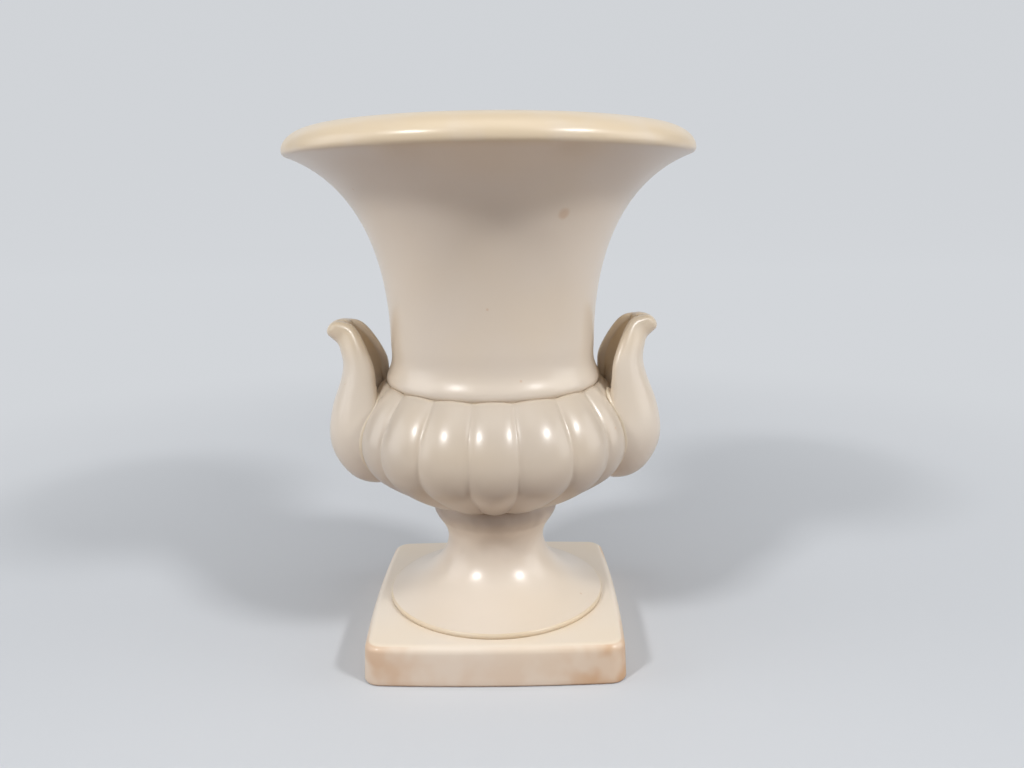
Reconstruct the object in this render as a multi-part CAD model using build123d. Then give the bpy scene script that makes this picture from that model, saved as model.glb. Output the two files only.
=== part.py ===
from build123d import *
import math
import os

# Urn vase of slip-cast ceramic: a flared bell neck over a gadrooned bowl, on a waisted pedestal
# and a square plinth, with a curled leaf handle at each side.
# Millimetres, Z up. The origin is the middle of the plinth's underside, and -Y is the front.
# A turned piece is drawn as half its section, in points of radius and height.

# Clay, slip and locating rings
wall = 5.0                      # thickness of every cast wall
slip = 0.6                      # thickness of the slip between two castings
bed_clearance = 0.1             # play between a handle's slip bed and the castings
seat_clearance = 0.3            # play between a locating ring and its seat
ring_depth = 4.0                # how far a locating ring reaches into its seat
ring_wall = 3.7                 # thickness of a locating ring

# Square plinth
plinth_width = 104.0            # at the foot, across the middles of two opposite sides
plinth_draft = 0.8              # how far each side leans in from foot to top
plinth_height = 16.2
plinth_bow = 1.7                # how far each side bulges between its corners
plinth_corner_radius = 6.0
plinth_top_edge = 3.0           # rounding of the upper edge
plinth_foot_edge = 1.2          # rounding of the lower edge
plinth_slab = 6.0               # thickness of the top over the hollow

# Pedestal
disc_radius = 45.2
disc_edge = 1.6                 # upright edge of the foot disc
disc_rounding = 0.7
foot_ring_radius = 33.0         # locating ring under the foot disc
stem_height = 42.6              # foot disc's underside to the collar's top
foot_slope = 0.22               # rise of the trumpet curve over its run, at the disc
swell_radius = 27.0             # one point on the trumpet curve of the foot
swell_height = 11.0
neck_radius = 20.1
neck_height = 24.7
scotia_radius = 20.8            # where the neck's hollow curve meets the collar
scotia_height = 31.4
scotia_lean = 0.3               # run of the hollow curve over its rise, under the collar
collar_radius = 25.4
collar_height = 38.4            # where the collar is widest
collar_top_radius = 24.8
bore_radius = 14.0              # opening in the collar's top
bore_lean = 0.2                 # run of the bore over its fall, at the foot

# Gadrooned bowl
bowl_height = 48.0              # seat on the collar to the flat top
bowl_foot_radius = 26.0
bowl_foot_slope = 0.66          # rise of the groove line over its run, at its lower end
hip_radius = 44.4               # groove line under the belly
hip_height = 11.8
flank_radius = 51.6             # groove line where it turns upright
flank_height = 18.6
belly_radius = 53.9             # groove line at its widest
belly_height = 26.2
shoulder_radius = 49.6          # groove line above the belly
shoulder_height = 39.0
bowl_top_slope = 1.5            # rise of the groove line over its run, at its upper end
lobe_count = 18
lobe_height = 2.7               # how far a lobe's crest stands off the groove line
lobe_tip = 20.0                 # length over which a lobe rises from its lower end
lobe_arch = 14.0                # length over which a lobe rises from its upper end
ring_count = 13                 # scalloped rings that carry the bowl's outside
inside_low = 0.34               # two shares of the groove line that the inside runs along
inside_high = 0.6
bowl_ledge = 1.2                # bowl's flat top beyond the foot of the bell
seat_width = 3.2                # flat seat of the bell, round the bowl's mouth
mouth_slope = 0.4               # rise of the inside over its run, under the opening
bowl_floor = 6.5

# Bell neck
bell_height = 89.9              # seat on the bowl to the rim's lower edge
bell_foot_radius = 42.2
bead_lean = 0.7                 # run of the bead's underside over its rise, at the seat
bead_stand = 0.8                # how far the bead stands out over the foot
bead_height = 1.2
cove_inset = 0.6                # how far the cove over the bead lies inside the foot
cove_height = 6.7
waist_inset = 1.3
waist_height = 17.5
rim_radius = 78.3
rim_depth = 14.5                # how far the domed rim reaches inwards
rim_rise = 9.8
rim_edge = 1.2                  # rounding of the rim's lower edge
flare_angle = 22.0              # slope of the bell just under its rim
flare_start = 36.0              # straightness of the bell at its waist
flare_end = 27.0                # straightness of the bell at its rim
lip_setback = 14.0              # hollow under the rolled lip, measured from the rim's edge

# Leaf handles: a reach is measured from the belly's groove line, a rise from the bowl's seat
fan_reach = -12.0               # point inside the bowl that the bulb's ribs fan out from
fan_rise = 28.0
fan_radius = 5.0
root_reach = -16.0              # keel where it starts, inside the bowl
root_rise = 9.0
under_reach = -6.0              # keel under the bowl's flank
under_rise = 5.2
foot_reach = 3.6                # keel under the bulb
foot_rise = 7.4
heel_reach = 10.4
heel_rise = 14.6
bulb_reach = 14.0               # keel at the bulb's widest
bulb_rise = 25.8
back_reach = 12.6               # keel above the bulb
back_rise = 36.8
leaf_reach = 9.9                # keel beside the floor of the trough
leaf_rise = 44.8
leaf_edge_reach = -6.4          # where the leaf's two edges leave the bowl
leaf_edge_rise = 47.8
pinch_reach = 6.7               # keel at its narrowest
pinch_rise = 56.0
pinch_edge_reach = -5.6
pinch_edge_rise = 57.6
turn_reach = 7.5                # keel where the tip starts to lean out
turn_rise = 62.6
turn_edge_reach = -2.2
turn_edge_rise = 65.8
curl_reach = 9.6
curl_rise = 66.7
curl_edge_reach = 3.0
curl_edge_rise = 71.2
tip_reach = 11.7
tip_rise = 69.0
tip_edge_reach = 7.8
tip_edge_rise = 72.4
root_half_width = 12.0
under_half_width = 15.0
foot_half_width = 16.6
heel_half_width = 17.8
bulb_half_width = 18.3
leaf_half_width = 16.0
pinch_half_width = 13.6
turn_half_width = 11.2
curl_half_width = 8.6
tip_half_width = 6.4
trough_rise = 46.0              # floor of the open trough
leaf_wall = 5.0
tip_wall = 4.6
end_reach = 12.9                # blunt end of the tip
end_rise = 70.6
end_edge_reach = 10.9
end_edge_rise = 72.7
end_half_width = 4.0
end_wall = 2.6
core_level = -0.25              # level of the bulb's filling over the edges, as a share of the wall
tongue_level = 0.4              # level of the filling at the tip, where the trough is closed
rib_steps = 6                   # points that carry each rib's half ellipse

# Heights and radii that the pieces share
plinth_top = plinth_height
disc_z = plinth_top + slip
collar_top = disc_z + stem_height
bowl_z = collar_top + slip
bowl_top = bowl_z + bowl_height
bell_z = bowl_top + slip
rim_z = bell_z + bell_height
mouth_radius = bell_foot_radius - seat_width
lobe_pitch = 360.0 / lobe_count


def turned(outline):
    """Solid turned about Z from a closed outline of edges in radius and height."""
    return revolve(Plane.XZ * make_face(outline), Axis.Z)


def turned_ring(inner_radius, outer_radius, low, high):
    """Plain ring between two radii and two heights."""
    corners = [(inner_radius, low), (outer_radius, low), (outer_radius, high), (inner_radius, high)]
    return turned(Polyline(*corners, close=True))


def bowed_square(width, bow, corner_radius):
    """Square face with sides that bulge by the bow and with rounded corners."""
    half = width / 2
    corner = half - bow
    corners = [(corner, -corner), (corner, corner), (-corner, corner), (-corner, -corner)]
    middles = [(half, 0), (0, half), (-half, 0), (0, -half)]
    sides = Curve()
    for side in range(4):
        sides += ThreePointArc(corners[side], middles[side], corners[(side + 1) % 4])
    face = make_face(sides)
    return fillet(face.vertices(), corner_radius)


def make_plinth():
    """Plinth, hollow underneath, with a round hole that takes the pedestal's locating ring."""
    foot = bowed_square(plinth_width, plinth_bow, plinth_corner_radius)
    top = bowed_square(plinth_width - 2 * plinth_draft, plinth_bow, plinth_corner_radius)
    block = loft([foot, Pos(0, 0, plinth_height) * top])
    block = fillet(block.faces().sort_by(Axis.Z)[-1].edges(), plinth_top_edge)
    block = fillet(block.faces().sort_by(Axis.Z)[0].edges(), plinth_foot_edge)
    hollow_width = plinth_width - 2 * (plinth_draft + wall)
    hollow_face = bowed_square(hollow_width, plinth_bow, plinth_corner_radius)
    hollow = extrude(hollow_face, plinth_height - plinth_slab)
    hole = extrude(Circle(foot_ring_radius + seat_clearance), plinth_height)
    return block - hollow - hole


def make_pedestal():
    """Foot disc, trumpet stem and collar, with one bore from end to end."""
    neck = (neck_radius, disc_z + neck_height)
    swell = (swell_radius, disc_z + swell_height)
    disc_lip = (disc_radius - disc_rounding, disc_z + disc_edge)
    disc_side = (disc_radius, disc_z + disc_edge - disc_rounding)
    scotia = (scotia_radius, disc_z + scotia_height)
    collar_side = (collar_radius, disc_z + collar_height)
    collar_lip = (collar_top_radius, collar_top)
    ring_inner = foot_ring_radius - ring_wall
    outside = Polyline((foot_ring_radius, disc_z), (disc_radius, disc_z), disc_side)
    outside += RadiusArc(disc_side, disc_lip, -disc_rounding)
    outside += Spline(disc_lip, swell, neck, tangents=[(-1, foot_slope), (0, 1)])
    outside += Spline(neck, scotia, tangents=[(0, 1), (scotia_lean, 1)])
    outside += TangentArc(collar_side, scotia, tangent=(0, -1))
    outside += TangentArc(collar_side, collar_lip, tangent=(0, 1))
    outside += Line(collar_lip, (bore_radius, collar_top))
    bore_neck = (neck_radius - wall, disc_z + neck_height)
    bore_swell = (swell_radius - wall, disc_z + swell_height - wall)
    ring_z = disc_z - ring_depth
    outside += Line((bore_radius, collar_top), bore_neck)
    outside += Spline(bore_neck, bore_swell, (ring_inner, disc_z), tangents=[(0, -1), (bore_lean, -1)])
    ring_foot = [(ring_inner, ring_z), (foot_ring_radius, ring_z)]
    outside += Polyline((ring_inner, disc_z), *ring_foot, (foot_ring_radius, disc_z))
    return turned(outside)


# Groove line of the bowl, from its seat on the collar to its flat top
bowl_line = Spline(
    (bowl_foot_radius, bowl_z),
    (hip_radius, bowl_z + hip_height),
    (flank_radius, bowl_z + flank_height),
    (belly_radius, bowl_z + belly_height),
    (shoulder_radius, bowl_z + shoulder_height),
    (bell_foot_radius + bowl_ledge, bowl_top),
    tangents=[(1, bowl_foot_slope), (-1, bowl_top_slope)],
)


def beside_bowl_line(along, distance):
    """Point at a share of the groove line's length, moved outwards by a distance."""
    heading = bowl_line % along
    return bowl_line @ along + Vector(heading.Y, -heading.X) * distance


def lobe_bulge(along):
    """How far a lobe's crest stands off the groove line, rounded at both of its ends."""
    from_tip = min(along * bowl_line.length / lobe_tip, 1.0)
    from_arch = min((1.0 - along) * bowl_line.length / lobe_arch, 1.0)
    tip_share = math.sqrt(1.0 - (1.0 - from_tip) ** 2)
    arch_share = math.sqrt(1.0 - (1.0 - from_arch) ** 2)
    return lobe_height * tip_share * arch_share


def on_circle(point, angle):
    """Place of a point of radius and height, at an angle about Z."""
    turn = math.radians(angle)
    return (point.X * math.cos(turn), point.X * math.sin(turn), point.Y)


def scalloped_ring(groove, crest):
    """Closed wire of one arc per lobe, from groove to groove over the crest."""
    arcs = []
    for lobe in range(lobe_count):
        middle = -90.0 + lobe * lobe_pitch
        start = on_circle(groove, middle - lobe_pitch / 2)
        end = on_circle(groove, middle + lobe_pitch / 2)
        arcs.append(ThreePointArc(start, on_circle(crest, middle), end))
    return Wire(arcs)


def gadrooned_body(growth):
    """Filled outside of the bowl with its lobes, grown outwards all over."""
    rings = []
    for ring in range(ring_count):
        along = (1.0 - math.cos(math.pi * ring / (ring_count - 1))) / 2
        groove = beside_bowl_line(along, growth)
        crest = beside_bowl_line(along, growth + lobe_bulge(along))
        rings.append(scalloped_ring(groove, crest))
    return Solid.make_loft(rings)


def make_bowl():
    """Bowl with its lobes, hollow, with a boss below that sits in the collar's bore."""
    mouth_low = bowl_top - wall
    inside = Spline(
        (0, bowl_z + bowl_floor),
        beside_bowl_line(inside_low, -wall),
        beside_bowl_line(inside_high, -wall),
        (mouth_radius, mouth_low),
        tangents=[(1, 0), (-1, mouth_slope)],
    )
    mouth = [(mouth_radius, mouth_low), (mouth_radius, bowl_top), (0, bowl_top)]
    inside += Polyline(*mouth, (0, bowl_z + bowl_floor))
    boss = extrude(Circle(bore_radius - seat_clearance), ring_depth + wall)
    return gadrooned_body(0.0) + Pos(0, 0, bowl_z - ring_depth) * boss - turned(inside)


def make_bell():
    """Bell neck with a bead at its foot, a rolled rim and a locating ring below."""
    foot = (bell_foot_radius, bell_z)
    bead = (bell_foot_radius + bead_stand, bell_z + bead_height)
    cove = (bell_foot_radius - cove_inset, bell_z + cove_height)
    waist = Vector(bell_foot_radius - waist_inset, bell_z + waist_height)
    edge = Vector(rim_radius, rim_z)
    slope = Vector(math.cos(math.radians(flare_angle)), math.sin(math.radians(flare_angle)))
    rise = Vector(0, flare_start)
    crest_radius = rim_radius - rim_depth
    crest_z = rim_z + rim_rise
    lip_low = (crest_radius, crest_z - wall)
    lip_nose = (crest_radius - wall / 2, crest_z - wall / 2)
    under_lip = edge + Vector(-slope.Y, slope.X) * wall - slope * lip_setback
    inner_waist = waist - Vector(wall, 0)
    ring_outer = mouth_radius - seat_clearance
    ring_inner = ring_outer - ring_wall
    ring_z = bell_z - ring_depth
    outline = Spline(foot, bead, cove, waist, tangents=[(bead_lean, 1), (0, 1)])
    outline += Bezier(waist, waist + rise, edge - slope * flare_end, edge)
    outline += EllipticalCenterArc((crest_radius, rim_z), rim_depth, rim_rise, arc_size=90)
    outline += ThreePointArc((crest_radius, crest_z), lip_nose, lip_low)
    outline += TangentArc(under_lip, lip_low, tangent=slope)
    inner_pull = under_lip - slope * (flare_end - lip_setback)
    outline += Bezier(under_lip, inner_pull, inner_waist + rise, inner_waist)
    outline += Polyline(inner_waist, (ring_inner, ring_z), (ring_outer, ring_z), (ring_outer, bell_z), foot)
    bell = turned(outline)
    return fillet(bell.edges().filter_by(GeomType.CIRCLE).sort_by(SortBy.RADIUS)[-1], rim_edge)


def handle_point(reach, rise):
    """Point of radius and height beside the bowl."""
    return Vector(belly_radius + reach, bowl_z + rise)


def bulb_rib(reach, rise, half_width):
    """Rib of the bulb: keel, edge, half width and thickness, on a line from the fan point."""
    keel = handle_point(reach, rise)
    fan = handle_point(fan_reach, fan_rise)
    return keel, fan + (keel - fan).normalized() * fan_radius, half_width, leaf_wall


def leaf_rib(keel, edge, half_width, thickness):
    """Rib of the open leaf, from the reach and rise of its keel and of its edges."""
    return handle_point(*keel), handle_point(*edge), half_width, thickness


bulb_ribs = [
    bulb_rib(root_reach, root_rise, root_half_width),
    bulb_rib(under_reach, under_rise, under_half_width),
    bulb_rib(foot_reach, foot_rise, foot_half_width),
    bulb_rib(heel_reach, heel_rise, heel_half_width),
    bulb_rib(bulb_reach, bulb_rise, bulb_half_width),
    bulb_rib(back_reach, back_rise, bulb_half_width),
]
open_ribs = [
    leaf_rib((leaf_reach, leaf_rise), (leaf_edge_reach, leaf_edge_rise), leaf_half_width, leaf_wall),
    leaf_rib((pinch_reach, pinch_rise), (pinch_edge_reach, pinch_edge_rise), pinch_half_width, leaf_wall),
    leaf_rib((turn_reach, turn_rise), (turn_edge_reach, turn_edge_rise), turn_half_width, leaf_wall),
]
tip_ribs = [
    leaf_rib((curl_reach, curl_rise), (curl_edge_reach, curl_edge_rise), curl_half_width, leaf_wall),
    leaf_rib((tip_reach, tip_rise), (tip_edge_reach, tip_edge_rise), tip_half_width, tip_wall),
    leaf_rib((end_reach, end_rise), (end_edge_reach, end_edge_rise), end_half_width, end_wall),
]


def across_leaf(point, y):
    """Place of a point of radius and height, at a distance to one side of the leaf's middle."""
    return (point.X, y, point.Y)


def rib_curve(edge, keel, half_width):
    """Half an ellipse across the leaf, from one edge over the keel to the other edge."""
    depth = keel - edge
    points = []
    for step in range(rib_steps + 1):
        turn = math.pi * step / rib_steps
        points.append(across_leaf(edge + depth * math.sin(turn), -half_width * math.cos(turn)))
    return Spline(*points, tangents=[across_leaf(depth, 0), across_leaf(-depth, 0)])


def crescent(keel, edge, half_width, thickness):
    """Closed wire across the leaf: outside, rounded edge, trough, rounded edge."""
    inwards = (edge - keel).normalized()
    brow = edge + inwards * (thickness / 2)
    trough = keel + inwards * thickness
    inner = half_width - thickness
    middle = half_width - thickness / 2
    outside = rib_curve(edge, keel, half_width)
    inside = rib_curve(edge, trough, -inner)
    far_brow = ThreePointArc(outside @ 1, across_leaf(brow, middle), inside @ 0)
    near_brow = ThreePointArc(inside @ 1, across_leaf(brow, -middle), outside @ 0)
    return Wire([outside, far_brow, inside, near_brow])


def core_section(keel, edge, half_width, thickness, level):
    """Closed wire that fills the leaf out to the middle of its wall, up to a level over its edges."""
    inwards = (edge - keel).normalized()
    rear = edge + inwards * (thickness * level)
    side = half_width - thickness / 2
    front = rib_curve(rear, keel + inwards * (thickness / 2), side)
    return Wire([front, Line(front @ 1, front @ 0)])


def make_leaf():
    """Whole right-hand leaf, with its bulb and its tip filled, reaching into the bowl."""
    shell = Solid.make_loft([crescent(*rib) for rib in bulb_ribs + open_ribs + tip_ribs])
    core = Solid.make_loft([core_section(*rib, core_level) for rib in bulb_ribs + open_ribs])
    tongue = Solid.make_loft([core_section(*rib, tongue_level) for rib in tip_ribs])
    floor = Plane.XY.offset(bowl_z + trough_rise)
    return shell + split(core, floor, keep=Keep.BOTTOM) + tongue


if __name__ == "__main__":
    os.makedirs("parts", exist_ok=True)
    leaf = make_leaf()
    right_handle = leaf - gadrooned_body(slip)
    bed_outside = gadrooned_body(slip - bed_clearance)
    right_bed = (leaf & bed_outside) - gadrooned_body(bed_clearance)
    slip_inner = foot_ring_radius + seat_clearance
    slip_outer = disc_radius - disc_rounding
    pieces = {
        "square_plinth": make_plinth(),
        "pedestal_stem": make_pedestal(),
        "gadrooned_bowl": make_bowl(),
        "bell_neck": make_bell(),
        "right_handle": right_handle,
        "left_handle": mirror(right_handle, Plane.YZ),
        "plinth_slip_joint": turned_ring(slip_inner, slip_outer, plinth_top, disc_z),
        "stem_slip_joint": turned_ring(bore_radius, collar_top_radius, collar_top, bowl_z),
        "bell_slip_joint": turned_ring(mouth_radius, bell_foot_radius, bowl_top, bell_z),
        "right_handle_slip_joint": right_bed,
        "left_handle_slip_joint": mirror(right_bed, Plane.YZ),
    }
    for name, piece in pieces.items():
        export_step(piece, f"parts/{name}.step")
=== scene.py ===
"""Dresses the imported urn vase: soft glazed castings, their finishes, studio light and camera."""

import logging
import math
from dataclasses import dataclass, replace
from enum import Enum

import bmesh
import bpy
import numpy
from bmesh.types import BMEdge, BMesh, BMFace, BMVert
from bpy.types import Material, Node, NodeSocket, NodeTree, Object
from mathutils import Matrix, Vector
from mathutils.geometry import interpolate_bezier

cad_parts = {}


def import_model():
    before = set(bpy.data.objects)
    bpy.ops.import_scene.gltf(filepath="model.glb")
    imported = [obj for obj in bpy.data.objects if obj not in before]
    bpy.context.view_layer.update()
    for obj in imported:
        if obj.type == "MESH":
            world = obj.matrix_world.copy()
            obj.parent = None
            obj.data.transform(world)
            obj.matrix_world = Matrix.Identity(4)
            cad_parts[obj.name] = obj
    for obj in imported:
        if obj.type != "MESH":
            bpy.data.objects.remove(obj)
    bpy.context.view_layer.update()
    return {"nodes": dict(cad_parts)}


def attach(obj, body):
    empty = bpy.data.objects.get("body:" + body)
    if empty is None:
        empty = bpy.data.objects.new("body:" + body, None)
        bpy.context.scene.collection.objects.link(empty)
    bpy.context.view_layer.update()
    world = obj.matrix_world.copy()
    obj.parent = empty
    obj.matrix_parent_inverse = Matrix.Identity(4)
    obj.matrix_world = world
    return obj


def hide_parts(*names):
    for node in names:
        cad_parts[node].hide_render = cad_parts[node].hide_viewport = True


LOG = logging.getLogger("urn_vase")
MILLIMETRE = 0.001
ROUND_PULL = 0.5523
LEAST_STEP_SQUARED = 0.01
Colour = tuple[float, float, float, float]


class Slot(Enum):
    """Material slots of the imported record."""

    GLAZE = "ivory_glaze"
    SEAM = "slip_seam"


class Side(Enum):
    """The two sides of the vase that carry a handle, by the sign of their X."""

    RIGHT = 1.0
    LEFT = -1.0


class Mark(Enum):
    """Vertex attributes that tell the glaze how it lies, where the pooled one also carries painted shade."""

    THIN = "thin_glaze"
    # glaze pooled in hollows, and painted shade on some castings
    POOLED = "pooled_glaze_and_shade"
    STAIN = "handling_stain"


def shown(red: int, green: int, blue: int) -> Colour:
    """Linear colour of a display colour from 0 to 255."""
    parts = []
    for level in (red, green, blue):
        share = level / 255.0
        parts.append(share / 12.92 if share <= 0.04045 else ((share + 0.055) / 1.055) ** 2.4)
    return (parts[0], parts[1], parts[2], 1.0)


def eased(value: float, low: float, high: float) -> float:
    """Smooth share from 0 at low to 1 at high."""
    share = min(max((value - low) / (high - low), 0.0), 1.0)
    return share * share * (3.0 - 2.0 * share)


def only(kind: type, geometry: list) -> list:
    """Elements of one kind in a list of mesh geometry."""
    return [element for element in geometry if isinstance(element, kind)]


def linked(name: str, data: object) -> Object:
    """New object that carries its data and is linked to the scene."""
    thing = bpy.data.objects.new(name, data)
    bpy.context.scene.collection.objects.link(thing)
    return thing


def surface_shader(material: Material) -> Node:
    """Surface shader of a material, with its nodes switched on."""
    material.use_nodes = True
    return next(node for node in material.node_tree.nodes if node.type == "BSDF_PRINCIPLED")


def smooth_headings(
    knots: list[Vector], spans: list[float], first: Vector | None = None, last: Vector | None = None
) -> list[Vector]:
    """Headings that carry one smooth line through its knots.

    Args:
        knots: points that the line goes through.
        spans: length given to the stretch after each knot but the last.
        first: heading at the first knot, or none for a free end.
        last: heading at the last knot, or none for a free end.

    Returns:
        One heading per knot.
    """
    count = len(knots)
    weights = numpy.identity(count)
    sides = numpy.zeros((count, len(knots[0])))
    if first is None:
        weights[0, :2] = 2.0, 1.0
        first = (knots[1] - knots[0]) * (3.0 / spans[0])
    if last is None:
        weights[-1, -2:] = 1.0, 2.0
        last = (knots[-1] - knots[-2]) * (3.0 / spans[-1])
    sides[0] = first
    sides[-1] = last
    for place in range(1, count - 1):
        before, after = spans[place - 1], spans[place]
        weights[place, place - 1 : place + 2] = after, 2.0 * (before + after), before
        rise = (knots[place] - knots[place - 1]) * (after / before)
        fall = (knots[place + 1] - knots[place]) * (before / after)
        sides[place] = (rise + fall) * 3.0
    return [Vector(row) for row in numpy.linalg.solve(weights, sides)]


class Outline:
    """Half section of a turned casting, as points of radius and height in millimetres."""

    def __init__(self, radius: float, height: float, grain: float = 0.8) -> None:
        """Start at one point, with the wanted distance between points on curves."""
        self.points = [Vector((radius, height))]
        self.grain = grain

    @property
    def end(self) -> Vector:
        """Last point of the outline."""
        return self.points[-1]

    def straight(self, *corners: tuple[float, float]) -> None:
        """Go on in straight lines over the corners, with points along the longer ones."""
        for corner in corners:
            target = Vector(corner)
            start = self.end
            steps = max(int((target - start).length / (3.0 * self.grain)), 1)
            self.points += [start.lerp(target, step / steps) for step in range(1, steps + 1)]

    def bend(self, pull_out: Vector, pull_in: Vector, end: Vector) -> None:
        """Go on in one curve to the end, drawn by two pulls.

        Args:
            pull_out: point that the curve leaves towards.
            pull_in: point that the curve arrives from.
            end: last point of the curve.
        """
        reach = (pull_out - self.end).length + (pull_in - pull_out).length + (end - pull_in).length
        steps = max(int(reach / self.grain), 4)
        self.points += interpolate_bezier(self.end, pull_out, pull_in, end, steps + 1)[1:]

    def smooth(self, knots: list[tuple[float, float]], first: Vector, last: Vector) -> None:
        """Go on in one smooth line through the knots.

        Args:
            knots: points of radius and height.
            first: heading at the outline's present end.
            last: heading at the last knot.
        """
        line = [self.end.copy()] + [Vector(knot) for knot in knots]
        spans = [(after - before).length for before, after in zip(line, line[1:])]
        headings = smooth_headings(line, spans, first.normalized(), last.normalized())
        for place, span in enumerate(spans):
            pull_out = line[place] + headings[place] * (span / 3.0)
            pull_in = line[place + 1] - headings[place + 1] * (span / 3.0)
            self.bend(pull_out, pull_in, line[place + 1])

    def quarter(self, corner: Vector, end: Vector) -> None:
        """Go round a quarter of an ellipse whose two sides meet at the corner."""
        self.bend(self.end.lerp(corner, ROUND_PULL), end.lerp(corner, ROUND_PULL), end)


@dataclass(frozen=True)
class GlazeFinish:
    """One look of the fired glaze."""

    name: str
    body: Colour
    thin: Colour
    # colour of glaze pooled in hollows, which also paints shade where a casting marks it
    pooled: Colour
    stain: Colour
    shine: float
    coat: float
    coat_roughness: float


IVORY = GlazeFinish(
    name="ivory_glaze",
    body=shown(226, 214, 198),
    thin=shown(224, 203, 170),
    pooled=shown(172, 154, 130),
    stain=shown(206, 166, 128),
    shine=0.3,
    coat=0.3,
    coat_roughness=0.2,
)
BELL_IVORY = replace(IVORY, name="bell_ivory_glaze", body=shown(225, 212, 196))
# darker copy of the ivory that paints shade on the bowl
BOWL_SHADED_IVORY = replace(IVORY, name="bowl_shaded_ivory_glaze", body=shown(207, 194, 178))
# lighter copy of the ivory that paints in light the foot loses under the bell; its darker pooled colour
# paints the shade on the stem and collar as well as glaze pooled in hollows
FOOT_LIT_AND_SHADED_IVORY = replace(IVORY, name="foot_lit_and_shaded_ivory_glaze", body=shown(233, 220, 204), pooled=shown(160, 138, 120))
# lighter copy of the ivory, with lighter cream and stains, that paints in light the plinth loses under the
# bell
PLINTH_LIT_IVORY = replace(
    IVORY,
    name="plinth_lit_ivory_glaze",
    body=shown(240, 228, 212),
    thin=shown(238, 218, 186),
    stain=shown(214, 174, 134),
)
SEAM = GlazeFinish(
    name="slip_seam",
    body=shown(220, 206, 184),
    thin=shown(224, 209, 184),
    pooled=shown(164, 146, 120),
    stain=shown(176, 146, 112),
    shine=0.34,
    coat=0.2,
    coat_roughness=0.2,
)


class NodeBoard:
    """Places nodes in one tree and joins them."""

    def __init__(self, tree: NodeTree) -> None:
        """Work on one node tree."""
        self.tree = tree

    def place(self, kind: str, **settings: object) -> Node:
        """Add a node of a kind and set its properties."""
        node = self.tree.nodes.new(kind)
        for name, value in settings.items():
            setattr(node, name, value)
        return node

    def feed(self, socket: NodeSocket, source: object) -> None:
        """Give a socket a constant or the output of another node."""
        if isinstance(source, NodeSocket):
            self.tree.links.new(source, socket)
        else:
            socket.default_value = source

    def math(self, operation: str, first: object, second: object = 0.0) -> NodeSocket:
        """Result of one sum of two values."""
        node = self.place("ShaderNodeMath", operation=operation)
        self.feed(node.inputs[0], first)
        self.feed(node.inputs[1], second)
        return node.outputs[0]

    def ramp(self, value: object, low: float, high: float, start: float, stop: float) -> NodeSocket:
        """Value carried smoothly from one range to another.

        Args:
            value: what is carried.
            low: value that gives the start.
            high: value that gives the stop.
            start: result at and below low.
            stop: result at and above high.

        Returns:
            The output socket.
        """
        node = self.place("ShaderNodeMapRange", interpolation_type="SMOOTHSTEP")
        names = ("Value", "From Min", "From Max", "To Min", "To Max")
        for name, source in zip(names, (value, low, high, start, stop)):
            self.feed(node.inputs[name], source)
        return node.outputs["Result"]

    def mix(self, share: object, first: object, second: object) -> NodeSocket:
        """Colour between two colours."""
        node = self.place("ShaderNodeMix", data_type="RGBA")
        self.feed(node.inputs["Factor"], share)
        colours = [socket for socket in node.inputs if socket.type == "RGBA"]
        self.feed(colours[0], first)
        self.feed(colours[1], second)
        return next(socket for socket in node.outputs if socket.type == "RGBA")

    def noise(self, place: NodeSocket, scale: float, detail: float) -> NodeSocket:
        """Cloudy value over a place, with so many clouds to the metre."""
        node = self.place("ShaderNodeTexNoise")
        self.feed(node.inputs["Vector"], place)
        self.feed(node.inputs["Scale"], scale)
        self.feed(node.inputs["Detail"], detail)
        return node.outputs[0]


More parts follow.
